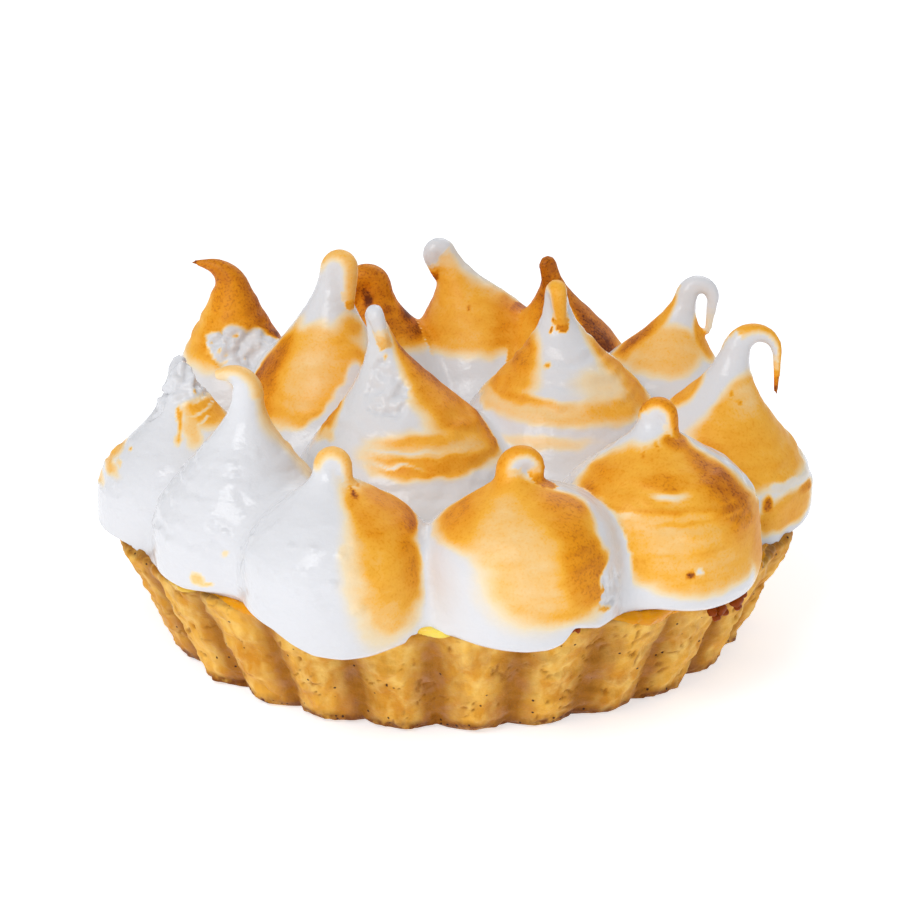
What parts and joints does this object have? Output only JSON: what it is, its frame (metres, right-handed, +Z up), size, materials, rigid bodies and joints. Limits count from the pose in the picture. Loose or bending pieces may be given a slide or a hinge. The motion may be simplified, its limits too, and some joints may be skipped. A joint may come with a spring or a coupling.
{
  "type": "lemon meringue tart",
  "caption": "Small round lemon meringue tart: a fluted shortcrust case with lemon curd to the rim, topped all over with tall piped and torched meringue kisses.",
  "frame": {"origin": "centre of the flat underside of the crust, where the tart stands", "axes": "+Z up through the tart, -Y towards the front that the picture shows, +X to the right of it"},
  "size_m": [0.115, 0.1223, 0.0565],
  "materials": {
    "crust": "golden baked shortcrust, matte and crumbly",
    "lemon_curd": "set lemon curd, smooth and glossy",
    "meringue": "soft white meringue, torched golden brown on its tips and shoulders"
  },
  "bodies": {
    "root": {"crust": "crust", "lemon_curd": "lemon_curd", "kiss_front_left": "meringue", "kiss_front": "meringue", "kiss_front_right": "meringue", "kiss_right": "meringue", "kiss_right_back": "meringue", "kiss_back_right": "meringue", "kiss_back": "meringue", "kiss_back_left": "meringue", "kiss_left_back": "meringue", "kiss_left": "meringue", "kiss_left_front": "meringue", "kiss_middle_front": "meringue", "kiss_middle_right": "meringue", "kiss_middle_left": "meringue"}
  },
  "joints": []
}
